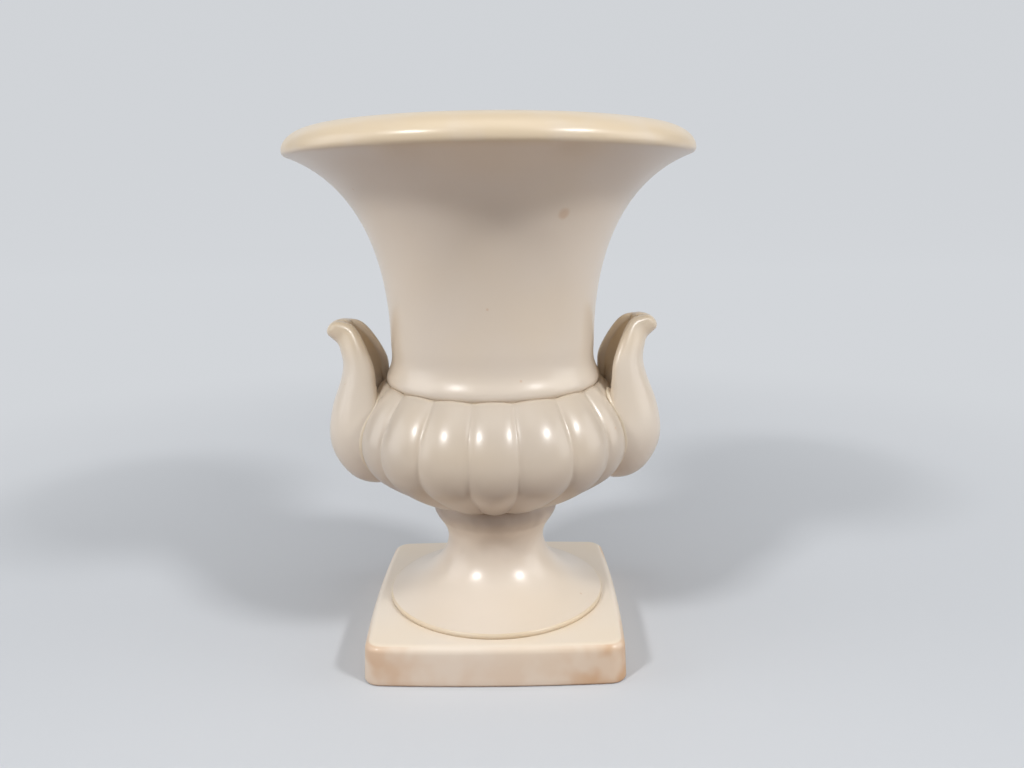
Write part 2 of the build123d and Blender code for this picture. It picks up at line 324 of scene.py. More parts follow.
class GlazeKit:
    """Makes the shared glaze group once, and a material for each finish."""

    cloud_scale: float = 24.0
    patch_scale: float = 75.0
    peel_scale: float = 420.0
    speck_scale: float = 85.0
    relief: float = 0.00006
    relief_strength: float = 0.6
    tint_share: float = 0.2
    speck_share: float = 0.4
    spot_share: float = 0.45
    peel_share: float = 0.002
    peel_roughness: tuple[float, float] = (-0.006, 0.008)
    stain_roughness: float = 0.12
    thin_roughness: float = 0.05
    glaze_ior: float = 1.5
    patches: dict[str, tuple[float, float, float]] = {
        "Thin": (0.25, 0.6, 0.6),
        "Pooled": (0.3, 0.7, 0.55),
        "Stain": (0.36, 0.64, 0.35),
    }
    blemish: tuple[float, float, float] = (0.0263, -0.0450, 0.1756)
    blemish_radius: float = 0.0028
    blemish_core: float = 0.3
    speck_size: tuple[float, float] = (0.025, 0.06)
    speck_pick: float = 0.9

    def __init__(self) -> None:
        """Build the group that all the finishes share."""
        self.group = self.build_group()
        self.made: dict[str, Material] = {}

    def build_group(self) -> NodeTree:
        """Group that turns masks and colours into the glaze's colour, roughness and relief."""
        tree = bpy.data.node_groups.new("fired_glaze", "ShaderNodeTree")
        for name in ("Body", "Thin", "Pooled", "Stain"):
            tree.interface.new_socket(name, in_out="INPUT", socket_type="NodeSocketColor")
        for name in ("Thin Mask", "Pooled Mask", "Stain Mask", "Shine"):
            tree.interface.new_socket(name, in_out="INPUT", socket_type="NodeSocketFloat")
        tree.interface.new_socket("Color", in_out="OUTPUT", socket_type="NodeSocketColor")
        tree.interface.new_socket("Roughness", in_out="OUTPUT", socket_type="NodeSocketFloat")
        tree.interface.new_socket("Height", in_out="OUTPUT", socket_type="NodeSocketFloat")
        board = NodeBoard(tree)
        given = board.place("NodeGroupInput").outputs
        result = board.place("NodeGroupOutput").inputs
        place = board.place("ShaderNodeTexCoord").outputs["Object"]
        cloud = board.noise(place, self.cloud_scale, 1.0)
        patch = board.noise(place, self.patch_scale, 2.0)
        peel = board.noise(place, self.peel_scale, 2.0)
        tint = board.ramp(cloud, 0.4, 0.7, 0.0, self.tint_share)
        colour = board.mix(tint, given["Body"], given["Thin"])
        masks = {}
        for name, (low, high, least) in self.patches.items():
            share = board.ramp(patch, low, high, least, 1.0)
            masks[name] = board.math("MULTIPLY", given[f"{name} Mask"], share)
            colour = board.mix(masks[name], colour, given[name])
        speck = board.math("MULTIPLY", self.specks(board, place), self.speck_share)
        speck = board.math("MAXIMUM", speck, self.spot(board, place, patch))
        colour = board.mix(speck, colour, given["Stain"])
        board.feed(result["Color"], colour)
        rough = board.math("ADD", given["Shine"], board.ramp(peel, 0.3, 0.7, *self.peel_roughness))
        rough = board.math("ADD", rough, board.math("MULTIPLY", masks["Stain"], self.stain_roughness))
        rough = board.math("ADD", rough, board.math("MULTIPLY", masks["Thin"], self.thin_roughness))
        board.feed(result["Roughness"], rough)
        height = board.math("ADD", cloud, board.math("MULTIPLY", peel, self.peel_share))
        board.feed(result["Height"], height)
        return tree

    def specks(self, board: NodeBoard, place: NodeSocket) -> NodeSocket:
        """Mask of a few tiny iron specks.

        Args:
            board: tree that the nodes go in.
            place: coordinates to scatter the specks over.

        Returns:
            The mask's socket.
        """
        cells = board.place("ShaderNodeTexVoronoi")
        board.feed(cells.inputs["Vector"], place)
        board.feed(cells.inputs["Scale"], self.speck_scale)
        near = board.ramp(cells.outputs["Distance"], *self.speck_size, 1.0, 0.0)
        pick = board.place("ShaderNodeSeparateColor")
        board.feed(pick.inputs[0], cells.outputs["Color"])
        chosen = board.math("GREATER_THAN", pick.outputs[0], self.speck_pick)
        return board.math("MULTIPLY", near, chosen)

    def spot(self, board: NodeBoard, place: NodeSocket, patch: NodeSocket) -> NodeSocket:
        """Mask of the one tan spot on the bell.

        Args:
            board: tree that the nodes go in.
            place: coordinates of the surface.
            patch: cloudy value that frays the spot's edge.

        Returns:
            The mask's socket.
        """
        apart = board.place("ShaderNodeVectorMath", operation="DISTANCE")
        board.feed(apart.inputs[0], place)
        board.feed(apart.inputs[1], self.blemish)
        frayed = board.math("MULTIPLY", apart.outputs["Value"], board.ramp(patch, 0.3, 0.7, 0.7, 1.4))
        core = self.blemish_core * self.blemish_radius
        return board.ramp(frayed, core, self.blemish_radius, self.spot_share, 0.0)

    def material(self, finish: GlazeFinish) -> Material:
        """Material of one finish, made at its first use."""
        if finish.name not in self.made:
            self.made[finish.name] = self.build_material(finish)
        return self.made[finish.name]

    def build_material(self, finish: GlazeFinish) -> Material:
        """Material whose shader takes colour, roughness and relief from the shared group.

        Args:
            finish: the look to build.

        Returns:
            The new material.
        """
        material = bpy.data.materials.new(finish.name)
        shader = surface_shader(material)
        board = NodeBoard(material.node_tree)
        group = board.place("ShaderNodeGroup", node_tree=self.group)
        board.feed(group.inputs["Body"], finish.body)
        looks = ((Mark.THIN, finish.thin), (Mark.POOLED, finish.pooled), (Mark.STAIN, finish.stain))
        for mark, colour in looks:
            name = mark.name.title()
            reader = board.place("ShaderNodeAttribute", attribute_name=mark.value)
            board.feed(group.inputs[name], colour)
            board.feed(group.inputs[f"{name} Mask"], reader.outputs["Fac"])
        board.feed(group.inputs["Shine"], finish.shine)
        bump = board.place("ShaderNodeBump")
        board.feed(bump.inputs["Strength"], self.relief_strength)
        board.feed(bump.inputs["Distance"], self.relief)
        board.feed(bump.inputs["Height"], group.outputs["Height"])
        board.feed(shader.inputs["Base Color"], group.outputs["Color"])
        board.feed(shader.inputs["Roughness"], group.outputs["Roughness"])
        board.feed(shader.inputs["Normal"], bump.outputs["Normal"])
        board.feed(shader.inputs["IOR"], self.glaze_ior)
        board.feed(shader.inputs["Coat Weight"], finish.coat)
        board.feed(shader.inputs["Coat Roughness"], finish.coat_roughness)
        return material


@dataclass
class Casting:
    """One casting of the vase: builds its mesh in millimetres, marks its glaze and sets it down."""

    kit: GlazeKit
    name: str = "casting"
    node: str = ""
    slot: Slot = Slot.GLAZE
    finish: GlazeFinish = IVORY
    thin_from: float = 0.14
    thin_to: float = 0.6
    pooled_from: float = 0.12
    pooled_to: float = 0.6
    thin_share: float = 0.75
    pooled_share: float = 0.8
    spread: int = 2
    weld: float = 0.004

    def model(self, form: BMesh) -> None:
        """Build the casting's mesh in millimetres."""
        raise NotImplementedError

    def extra(self, mark: Mark, place: Vector) -> float:
        """Share of a mark at a place, beside what the curvature gives."""
        return 0.0

    def make(self) -> Object:
        """Build, mark and place the casting."""
        form = bmesh.new()
        for mark in Mark:
            form.verts.layers.float.new(mark.value)
        self.model(form)
        bmesh.ops.remove_doubles(form, verts=form.verts, dist=self.weld)
        bmesh.ops.recalc_face_normals(form, faces=form.faces)
        self.mark_glaze(form)
        bmesh.ops.scale(form, verts=form.verts, vec=(MILLIMETRE,) * 3)
        return self.set_down(form)

    def mark_glaze(self, form: BMesh) -> None:
        """Write how the glaze lies: thin on round edges, pooled in hollows, stained where handled, with each
        casting's extra marks, some of which paint shade.
        """
        layers = {mark: form.verts.layers.float[mark.value] for mark in Mark}
        form.normal_update()
        bends = {vert: self.bend_at(vert) for vert in form.verts}
        for _ in range(self.spread):
            bends = {vert: self.spread_bend(vert, bends) for vert in form.verts}
        for vert, bend in bends.items():
            shares = {
                Mark.THIN: self.thin_share * eased(bend, self.thin_from, self.thin_to),
                Mark.POOLED: self.pooled_share * eased(-bend, self.pooled_from, self.pooled_to),
                Mark.STAIN: 0.0,
            }
            for mark, layer in layers.items():
                vert[layer] = min(vert[layer] + shares[mark] + self.extra(mark, vert.co), 1.0)

    @staticmethod
    def bend_at(vert: BMVert) -> float:
        """Curvature at a vertex, in turns to the millimetre: round is positive, hollow negative."""
        total = 0.0
        for edge in vert.link_edges:
            step = edge.other_vert(vert).co - vert.co
            total -= 2.0 * vert.normal.dot(step) / max(step.length_squared, LEAST_STEP_SQUARED)
        return total / max(len(vert.link_edges), 1)

    @staticmethod
    def spread_bend(vert: BMVert, bends: dict[BMVert, float]) -> float:
        """Mean of a vertex's curvature and its neighbours'."""
        near = [bends[edge.other_vert(vert)] for edge in vert.link_edges]
        return (bends[vert] + sum(near)) / (1 + len(near))

    def set_down(self, form: BMesh) -> Object:
        """Turn a finished mesh into a piece that rides on the vase and stands for its node.

        Args:
            form: finished mesh in metres.

        Returns:
            The new piece.
        """
        mesh = bpy.data.meshes.new(self.name)
        form.to_mesh(mesh)
        form.free()
        mesh.shade_smooth()
        mesh.materials.append(self.kit.material(self.finish))
        piece = linked(self.name, mesh)
        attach(piece, "root")
        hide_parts(self.node)
        return piece


@dataclass
class TurnedCasting(Casting):
    """A casting turned about the vase's axis from half its section."""

    steps: int = 216
    closed: bool = True

    def outline(self) -> Outline:
        """Half section of the casting."""
        raise NotImplementedError

    def model(self, form: BMesh) -> None:
        """Spin the half section once round the axis."""
        self.spin(form, self.outline().points)

    def spin(self, form: BMesh, points: list[Vector], row: object = None) -> None:
        """Draw the points in the XZ plane and spin them.

        Args:
            form: mesh to draw in.
            points: radius and height of each point.
            row: layer that keeps the points' numbers, from 1, or none.
        """
        verts = [form.verts.new((point.x, 0.0, point.y)) for point in points]
        if row is not None:
            for place, vert in enumerate(verts):
                vert[row] = place + 1
        pairs = list(zip(verts, verts[1:]))
        if self.closed:
            pairs.append((verts[-1], verts[0]))
        edges = [form.edges.new(pair) for pair in pairs]
        bmesh.ops.spin(
            form,
            geom=verts + edges,
            cent=(0.0, 0.0, 0.0),
            axis=(0.0, 0.0, 1.0),
            angle=math.tau,
            steps=self.steps,
            use_merge=True,
        )


@dataclass
class BellNeck(TurnedCasting):
    """Flared neck with a bead at its foot and a rolled rim."""

    name: str = "bell_neck_casting"
    node: str = "bell_neck"
    finish: GlazeFinish = BELL_IVORY
    wall: float = 5.0
    seat: float = 108.6
    foot_radius: float = 42.2
    bead: tuple[float, float] = (43.0, 109.8)
    cove: tuple[float, float] = (41.6, 115.3)
    waist: tuple[float, float] = (40.9, 126.1)
    rim_radius: float = 78.3
    rim_height: float = 198.5
    rim_depth: float = 14.5
    rim_rise: float = 9.8
    rim_edge: float = 1.5
    rim_pulls: tuple[float, float] = (0.7, 0.6)
    bead_slope: tuple[float, float] = (0.7, 1.0)
    lip_pull: tuple[float, float] = (2.0, -0.6)
    lip_run: float = 2.0
    flare_angle: float = 22.0
    flare_start: float = 36.0
    flare_end: float = 27.0
    lip_setback: float = 14.0
    ring_outer: float = 38.7
    ring_inner: float = 35.0
    ring_low: float = 104.6
    sag: float = 1.4
    sag_from: float = 150.0
    grain: float = 0.8
    edge_grain: float = 0.35
    roll_grain: float = 0.5
    rim_cream: float = 0.8
    cream_band: tuple[float, float] = (-2.5, 1.0)
    # painted shade that darkens the deep inside towards the seat, laid on as pooled glaze
    inside_shade: float = 0.2
    pool_band: tuple[float, float] = (110.0, 150.0)

    def model(self, form: BMesh) -> None:
        """Spin the half section and let the rim sag a little towards the handles."""
        super().model(form)
        for vert in form.verts:
            share = eased(vert.co.z, self.sag_from, self.rim_height)
            vert.co.z -= self.sag * share * (vert.co.x / self.rim_radius) ** 2

    def outline(self) -> Outline:
        """Bead, cove, flare, rolled rim and the inside, back to the seat."""
        waist = Vector(self.waist)
        edge = Vector((self.rim_radius, self.rim_height))
        turn = math.radians(self.flare_angle)
        slope = Vector((math.cos(turn), math.sin(turn)))
        rise = Vector((0.0, self.flare_start))
        crest = Vector((self.rim_radius - self.rim_depth, self.rim_height + self.rim_rise))
        nose = crest - Vector((self.wall / 2.0, self.wall / 2.0))
        lip = crest - Vector((0.0, self.wall))
        under_lip = edge + Vector((-slope.y, slope.x)) * self.wall - slope * self.lip_setback
        inner_waist = waist - Vector((self.wall, 0.0))
        line = Outline(self.foot_radius, self.seat, self.grain)
        line.smooth([self.bead, self.cove, self.waist], Vector(self.bead_slope), Vector((0.0, 1.0)))
        before_edge = edge - slope * self.rim_edge
        line.bend(waist + rise, edge - slope * self.flare_end, before_edge)
        line.grain = self.edge_grain
        after_edge = edge + Vector((0.0, self.rim_edge))
        leave, arrive = self.rim_pulls
        line.bend(before_edge.lerp(edge, leave), after_edge.lerp(edge, arrive), after_edge)
        line.grain = self.grain
        line.quarter(Vector((edge.x, crest.y)), crest)
        line.grain = self.roll_grain
        line.quarter(Vector((nose.x, crest.y)), nose)
        line.quarter(Vector((nose.x, lip.y)), lip)
        line.grain = self.grain
        line.bend(lip + Vector(self.lip_pull), under_lip + slope * self.lip_run, under_lip)
        line.bend(under_lip - slope * (self.flare_end - self.lip_setback), inner_waist + rise, inner_waist)
        line.straight((self.ring_inner, self.ring_low), (self.ring_outer, self.ring_low))
        line.straight((self.ring_outer, self.seat))
        return line

    def extra(self, mark: Mark, place: Vector) -> float:
        """The domed rim is creamy, and the deep inside is painted darker with shade."""
        radius = math.hypot(place.x, place.y)
        if mark is Mark.THIN:
            return self.rim_cream * eased(place.z - self.rim_height, *self.cream_band)
        if mark is Mark.POOLED and radius < self.ring_outer:
            low, high = self.pool_band
            return self.inside_shade * eased(-place.z, -high, -low)
        return 0.0


@dataclass
class GadroonedBowl(TurnedCasting):
    """Bowl with upright lobes, turned plain and then drawn out lobe by lobe."""

    name: str = "gadrooned_bowl_casting"
    node: str = "gadrooned_bowl"
    finish: GlazeFinish = BOWL_SHADED_IVORY
    steps: int = 576
    closed: bool = False
    wall: float = 5.0
    seat: float = 60.0
    top: float = 108.0
    boss_radius: float = 13.7
    boss_depth: float = 4.0
    foot_radius: float = 26.0
    hip: tuple[float, float] = (44.4, 71.8)
    flank: tuple[float, float] = (51.6, 78.6)
    belly: tuple[float, float] = (53.9, 86.2)
    shoulder: tuple[float, float] = (49.6, 99.0)
    ledge_radius: float = 43.4
    foot_slope: float = 0.66
    top_slope: float = 1.5
    mouth_radius: float = 39.0
    mouth_slope: float = 0.4
    floor: float = 6.5
    lobes: int = 18
    pooled_from: float = 0.3
    pooled_to: float = 1.6
    lobe_height: float = 2.7
    lobe_tip: float = 20.0
    lobe_arch: float = 14.0
    lobe_round: float = 0.8
    lobe_edge: float = 9.0
    lobe_top: float = 0.3
    top_rounding: float = 1.1
    top_pull: float = 0.7
    lobe_grain: float = 0.85
    ledge_grain: float = 0.3
    inside_grain: float = 2.0
    inside_along: tuple[float, float] = (0.34, 0.6)
    groove_fill: float = 0.24
    groove_round: float = 0.08
    even_grooves: tuple[float, ...] = (-50.0, -30.0, -10.0, 10.0, 30.0, 50.0, 70.0)
    front_grooves: tuple[float, ...] = (-50.0, -29.0, -8.6, 10.6, 33.0, 53.5, 70.0)

    def groove_line(self) -> list[Vector]:
        """Line along the bottom of the grooves, from the seat over a soft edge to the flat top."""
        line = Outline(self.foot_radius, self.seat, self.lobe_grain)
        soft = self.top_rounding
        edge = (self.ledge_radius + soft / self.top_slope, self.top - soft)
        lean = Vector((-1.0, self.top_slope))
        knots = [self.hip, self.flank, self.belly, self.shoulder, edge]
        line.smooth(knots, Vector((1.0, self.foot_slope)), lean)
        line.grain = self.ledge_grain
        corner = line.end + lean.normalized() * (self.top_pull * soft)
        line.bend(corner, Vector((self.ledge_radius, self.top)), Vector((self.ledge_radius - soft, self.top)))
        return line.points

    def model(self, form: BMesh) -> None:
        """Spin the plain bowl, then draw its lobes out of the groove line."""
        groove = self.groove_line()
        foot = Outline(0.0, self.seat - self.boss_depth)
        foot.straight((self.boss_radius, self.seat - self.boss_depth), (self.boss_radius, self.seat))
        foot.straight((self.foot_radius, self.seat))
        inside = Outline(groove[-1].x, self.top, self.inside_grain)
        inside.straight((self.mouth_radius, self.top), (self.mouth_radius, self.top - self.wall))
        low, high = (self.beside(groove, along, -self.wall) for along in self.inside_along)
        knots = [high, low, (0.0, self.seat + self.floor)]
        inside.smooth(knots, Vector((1.0, -self.mouth_slope)), Vector((-1.0, 0.0)))
        row = form.verts.layers.int.new("row")
        points = foot.points[:-1] + groove + inside.points[1:]
        self.spin(form, points, row)
        self.draw_lobes(form, groove, len(foot.points), row)

    def beside(self, groove: list[Vector], along: float, distance: float) -> tuple[float, float]:
        """Point at a share of the groove line, moved outwards by a distance."""
        place = round(along * (len(groove) - 1))
        heading = (groove[place + 1] - groove[place - 1]).normalized()
        point = groove[place] + Vector((heading.y, -heading.x)) * distance
        return (point.x, point.y)

    def lobe_bulge(self, after: float, before: float) -> float:
        """How far a lobe's crest stands off, by the lengths after its tip and before its arch."""
        from_tip = 1.0 - min(after / self.lobe_tip, 1.0)
        from_arch = 1.0 - min(before / self.lobe_arch, 1.0)
        arch = self.lobe_top + (1.0 - self.lobe_top) * math.sqrt(1.0 - from_arch**2)
        return self.lobe_height * math.sqrt(1.0 - from_tip**2) * arch

    def draw_lobes(self, form: BMesh, groove: list[Vector], first: int, row: object) -> None:
        """Move the outside out from the groove line, most in the middle of each lobe.

        Args:
            form: the spun bowl.
            groove: points of the groove line.
            first: row number of the groove line's first point.
            row: layer that keeps each vertex's row number.
        """
        lengths = [0.0]
        for before, after in zip(groove, groove[1:]):
            lengths.append(lengths[-1] + (after - before).length)
        for vert in form.verts:
            place = vert[row] - first
            if not 0 <= place < len(groove):
                continue
            ahead = groove[min(place + 1, len(groove) - 1)]
            behind = groove[max(place - 1, 0)]
            heading = (ahead - behind).normalized()
            bulge = self.lobe_bulge(lengths[place], lengths[-1] - lengths[place])
            around = Vector((vert.co.x, vert.co.y, 0.0)).normalized()
            stand_off = bulge * self.lobe_share(math.atan2(vert.co.y, vert.co.x))
            vert.co += (around * heading.y - Vector((0.0, 0.0, heading.x))) * stand_off

    def lobe_share(self, azimuth: float) -> float:
        """Share of a lobe's height at an azimuth, 1 on the crest and least in the filled groove."""
        front = (math.degrees(azimuth) + 270.0) % 360.0 - 180.0
        if self.front_grooves[0] < front < self.front_grooves[-1]:
            front = float(numpy.interp(front, self.front_grooves, self.even_grooves))
        across = abs(2.0 * ((front * self.lobes / 360.0 + 0.5) % 1.0) - 1.0)
        plain = 1.0 - self.lobe_round * across**2 - (1.0 - self.lobe_round) * across**self.lobe_edge
        soft = math.hypot(plain, self.groove_round) / math.hypot(1.0, self.groove_round)
        return self.groove_fill + (1.0 - self.groove_fill) * soft


@dataclass
class PedestalStem(TurnedCasting):
    """Round foot disc, trumpet stem and collar, hollow from end to end."""

    name: str = "pedestal_stem_casting"
    node: str = "pedestal_stem"
    finish: GlazeFinish = FOOT_LIT_AND_SHADED_IVORY
    base: float = 16.8
    height: float = 42.6
    disc_radius: float = 45.2
    disc_edge: float = 1.6
    disc_rounding: float = 0.7
    foot_slope: float = 0.22
    swell: tuple[float, float] = (27.0, 11.0)
    neck: tuple[float, float] = (20.1, 24.7)
    scotia: tuple[float, float] = (21.9, 31.0)
    collar: tuple[float, float] = (25.8, 39.0)
    collar_top_radius: float = 25.2
    collar_pull: float = 2.4
    collar_tuck: tuple[float, float] = (0.3, -1.4)
    skirt: float = 0.5
    skirt_width: float = 1.4
    grain: float = 0.7
    lip_grain: float = 0.25
    # painted shade on the upper stem and painted shadow of the bowl on the collar, laid on as pooled glaze
    stem_shade: float = 0.3
    collar_shadow: float = 0.3
    collar_shadow_band: tuple[float, float] = (32.6, 35.0)
    bore_radius: float = 14.0
    ring_outer: float = 33.0
    ring_inner: float = 29.3
    ring_depth: float = 4.0
    wall: float = 5.0

    def above(self, point: tuple[float, float]) -> Vector:
        """Point of radius and height over the foot disc's underside."""
        return Vector((point[0], point[1] + self.base))

    def outline(self) -> Outline:
        """Disc, trumpet curve, neck, collar and the bore, back to the locating ring."""
        top = self.base + self.height
        lip = Vector((self.disc_radius - self.disc_rounding, self.base + self.disc_edge))
        neck, scotia, collar = self.above(self.neck), self.above(self.scotia), self.above(self.collar)
        upright = Vector((0.0, 1.0))
        line = Outline(self.ring_outer, self.base)
        skirt = self.disc_radius - self.skirt_width
        line.straight((skirt, self.base), (skirt, self.base - self.skirt))
        line.straight((self.disc_radius, self.base - self.skirt))
        line.straight((self.disc_radius, lip.y - self.disc_rounding))
        line.grain = self.lip_grain
        line.quarter(Vector((self.disc_radius, lip.y)), lip)
        line.grain = self.grain
        line.smooth([self.above(self.swell), neck], Vector((-1.0, self.foot_slope)), upright)
        line.smooth([scotia, collar], upright, upright)
        rest = Vector((self.collar_top_radius, top))
        line.bend(collar + upright * self.collar_pull, rest + Vector(self.collar_tuck), rest)
        line.straight((self.bore_radius, top), (neck.x - self.wall, neck.y))
        swell = self.above(self.swell)
        inner_swell = (swell.x - self.wall, swell.y - self.wall)
        line.smooth([inner_swell, (self.ring_inner, self.base)], -upright, Vector((0.2, -1.0)))
        low = self.base - self.ring_depth
        line.straight((self.ring_inner, low), (self.ring_outer, low))
        return line

    def extra(self, mark: Mark, place: Vector) -> float:
        """The stem is painted a little darker with shade under the bowl, and the collar darker still with the
        bowl's painted shadow, both in the pooled glaze colour.
        """
        rise = place.z - self.base
        if mark is Mark.POOLED:
            stem = self.stem_shade * eased(rise, self.swell[1], self.neck[1])
            return stem + self.collar_shadow * eased(rise, *self.collar_shadow_band)
        return 0.0


@dataclass
class SquarePlinth(Casting):
    """Square plinth with bowed sides, soft edges and a hollow underneath."""

    name: str = "square_plinth_casting"
    node: str = "square_plinth"
    finish: GlazeFinish = PLINTH_LIT_IVORY
    width: float = 104.0
    draft: float = 0.8
    height: float = 16.2
    bow: float = 1.7
    corner: float = 6.0
    top_edge: float = 3.0
    foot_edge: float = 1.2
    slab: float = 6.0
    wall: float = 5.8
    hole_radius: float = 33.3
    side_cuts: int = 23
    upright_cuts: int = 6
    level_cuts: int = 7
    corner_segments: int = 10
    top_segments: int = 7
    foot_segments: int = 4
    top_inset: float = 0.5
    stain_even: float = 0.16
    stain_low: float = 0.15
    stain_foot: float = 2.0
    stain_depth: float = 7.0
    stain_stop: float = 0.4
    corner_band: tuple[float, float] = (0.35, 0.95)
    cream_even: float = 0.05
    cream_corner: float = 0.3
    cream_start: float = 0.5
    steep: float = 5.0
    left_stain: float = 0.5
    right_stain: float = 0.9

    def model(self, form: BMesh) -> None:
        """Draw the bowed square, raise it, round its edges and hollow it."""
        reach = self.width / 2.0 - self.bow
        signs = ((1, -1), (1, 1), (-1, 1), (-1, -1))
        corners = [form.verts.new((x * reach, y * reach, 0.0)) for x, y in signs]
        form.faces.new(corners)
        self.round_off(form, corners, self.corner, self.corner_segments)
        bmesh.ops.delete(form, geom=form.faces[:], context="FACES_ONLY")
        sides = [edge for edge in form.edges if edge.calc_length() > self.width / 2.0]
        bmesh.ops.subdivide_edges(form, edges=sides, cuts=self.side_cuts)
        for vert in form.verts:
            self.bow_out(vert, reach)
        foot = bmesh.ops.contextual_create(form, geom=form.edges[:])["faces"][0]
        raised = bmesh.ops.extrude_face_region(form, geom=[foot])["geom"]
        top = only(BMFace, raised)[0]
        bmesh.ops.translate(form, verts=top.verts[:], vec=(0.0, 0.0, self.height))
        lean = 1.0 - 2.0 * self.draft / self.width
        bmesh.ops.scale(form, verts=top.verts[:], vec=(lean, lean, 1.0))
        form.normal_update()
        for height, radius, segments in (
            (self.height, self.top_edge, self.top_segments),
            (0.0, self.foot_edge, self.foot_segments),
        ):
            self.round_off(form, self.face_at(form, height).edges[:], radius, segments)
        self.cut_sides(form)
        self.hollow(form)

    def bow_out(self, vert: BMVert, reach: float) -> None:
        """Bulge one point of the square's sides."""
        across, along = vert.co.x / reach, vert.co.y / reach
        vert.co.x += self.bow * across * (1.0 - along**2)
        vert.co.y += self.bow * along * (1.0 - across**2)

    @staticmethod
    def face_at(form: BMesh, height: float) -> BMFace:
        """The widest level face at a height."""
        level = [face for face in form.faces if abs(face.calc_center_median().z - height) < 0.01]
        return max(level, key=lambda face: face.calc_area())

    @staticmethod
    def round_off(form: BMesh, sharp: list, radius: float, segments: int) -> None:
        """Round off sharp corners or sharp edges.

        Args:
            form: the plinth so far.
            sharp: vertices or edges, all of one kind.
            radius: how far the rounding reaches.
            segments: number of steps in the rounding.
        """
        bmesh.ops.bevel(
            form,
            geom=sharp,
            offset=radius,
            offset_type="OFFSET",
            affect="VERTICES" if isinstance(sharp[0], BMVert) else "EDGES",
            segments=segments,
            profile=0.5,
            material=-1,
        )

    def cut_sides(self, form: BMesh) -> None:
        """Give the upright sides rows of points that can carry the stains."""
        upright = [edge for edge in form.edges if abs(edge.verts[0].co.z - edge.verts[1].co.z) > self.steep]
        bmesh.ops.subdivide_edges(form, edges=upright, cuts=self.upright_cuts, use_grid_fill=True)

    def hollow(self, form: BMesh) -> None:
        """Hollow the underside and open the hole that takes the pedestal's ring."""
        under = self.face_at(form, 0.0)
        bmesh.ops.inset_individual(form, faces=[under], thickness=self.wall - self.foot_edge)
        walls = bmesh.ops.extrude_discrete_faces(form, faces=[under])["faces"]
        ceiling = walls[0]
        bmesh.ops.translate(form, verts=ceiling.verts[:], vec=(0.0, 0.0, self.height - self.slab))
        top = self.face_at(form, self.height)
        bmesh.ops.inset_individual(form, faces=[top], thickness=self.top_inset)
        self.open_hole(form, top, ceiling)

    def open_hole(self, form: BMesh, top: BMFace, ceiling: BMFace) -> None:
        """Join the top and the ceiling of the hollow through a round hole.

        Args:
            form: the plinth so far.
            top: level face that the foot disc stands on.
            ceiling: level face over the hollow.
        """
        count = len(top.verts)
        rings = []
        for face, height in ((top, self.height), (ceiling, self.height - self.slab)):
            outer = face.edges[:]
            bmesh.ops.delete(form, geom=[face], context="FACES_ONLY")
            matrix = Matrix.Translation((0.0, 0.0, height))
            made = bmesh.ops.create_circle(form, segments=count, radius=self.hole_radius, matrix=matrix)
            inner = list({edge for vert in made["verts"] for edge in vert.link_edges})
            rings.append(inner)
            spokes = bmesh.ops.bridge_loops(form, edges=outer + inner)["edges"]
            bmesh.ops.subdivide_edges(form, edges=spokes, cuts=self.level_cuts, use_grid_fill=True)
        bmesh.ops.bridge_loops(form, edges=rings[0] + rings[1])

    def extra(self, mark: Mark, place: Vector) -> float:
        """Handling stains gather at the corners and along the foot, and creamy glaze on the top."""
        half = self.width / 2.0
        outside = max(abs(place.x), abs(place.y)) > half - self.stain_depth
        corner = eased(min(abs(place.x), abs(place.y)) / half, *self.corner_band)
        if mark is Mark.STAIN and outside and place.z < self.height - self.stain_stop:
            low = eased(-place.z, -self.height, -self.stain_foot)
            side = self.right_stain if place.x > 0.0 else self.left_stain
            return self.stain_even + self.stain_low * low + side * corner
        if mark is Mark.THIN and place.z > self.height - self.cream_start:
            return self.cream_even + self.cream_corner * corner
        return 0.0


@dataclass(frozen=True)
class Rib:
    """One cross rib of a leaf handle, by reach from the belly and rise from the bowl's seat."""

    keel: tuple[float, float]
    edge: tuple[float, float]
    half_width: float
    wall: float
    scoop: float


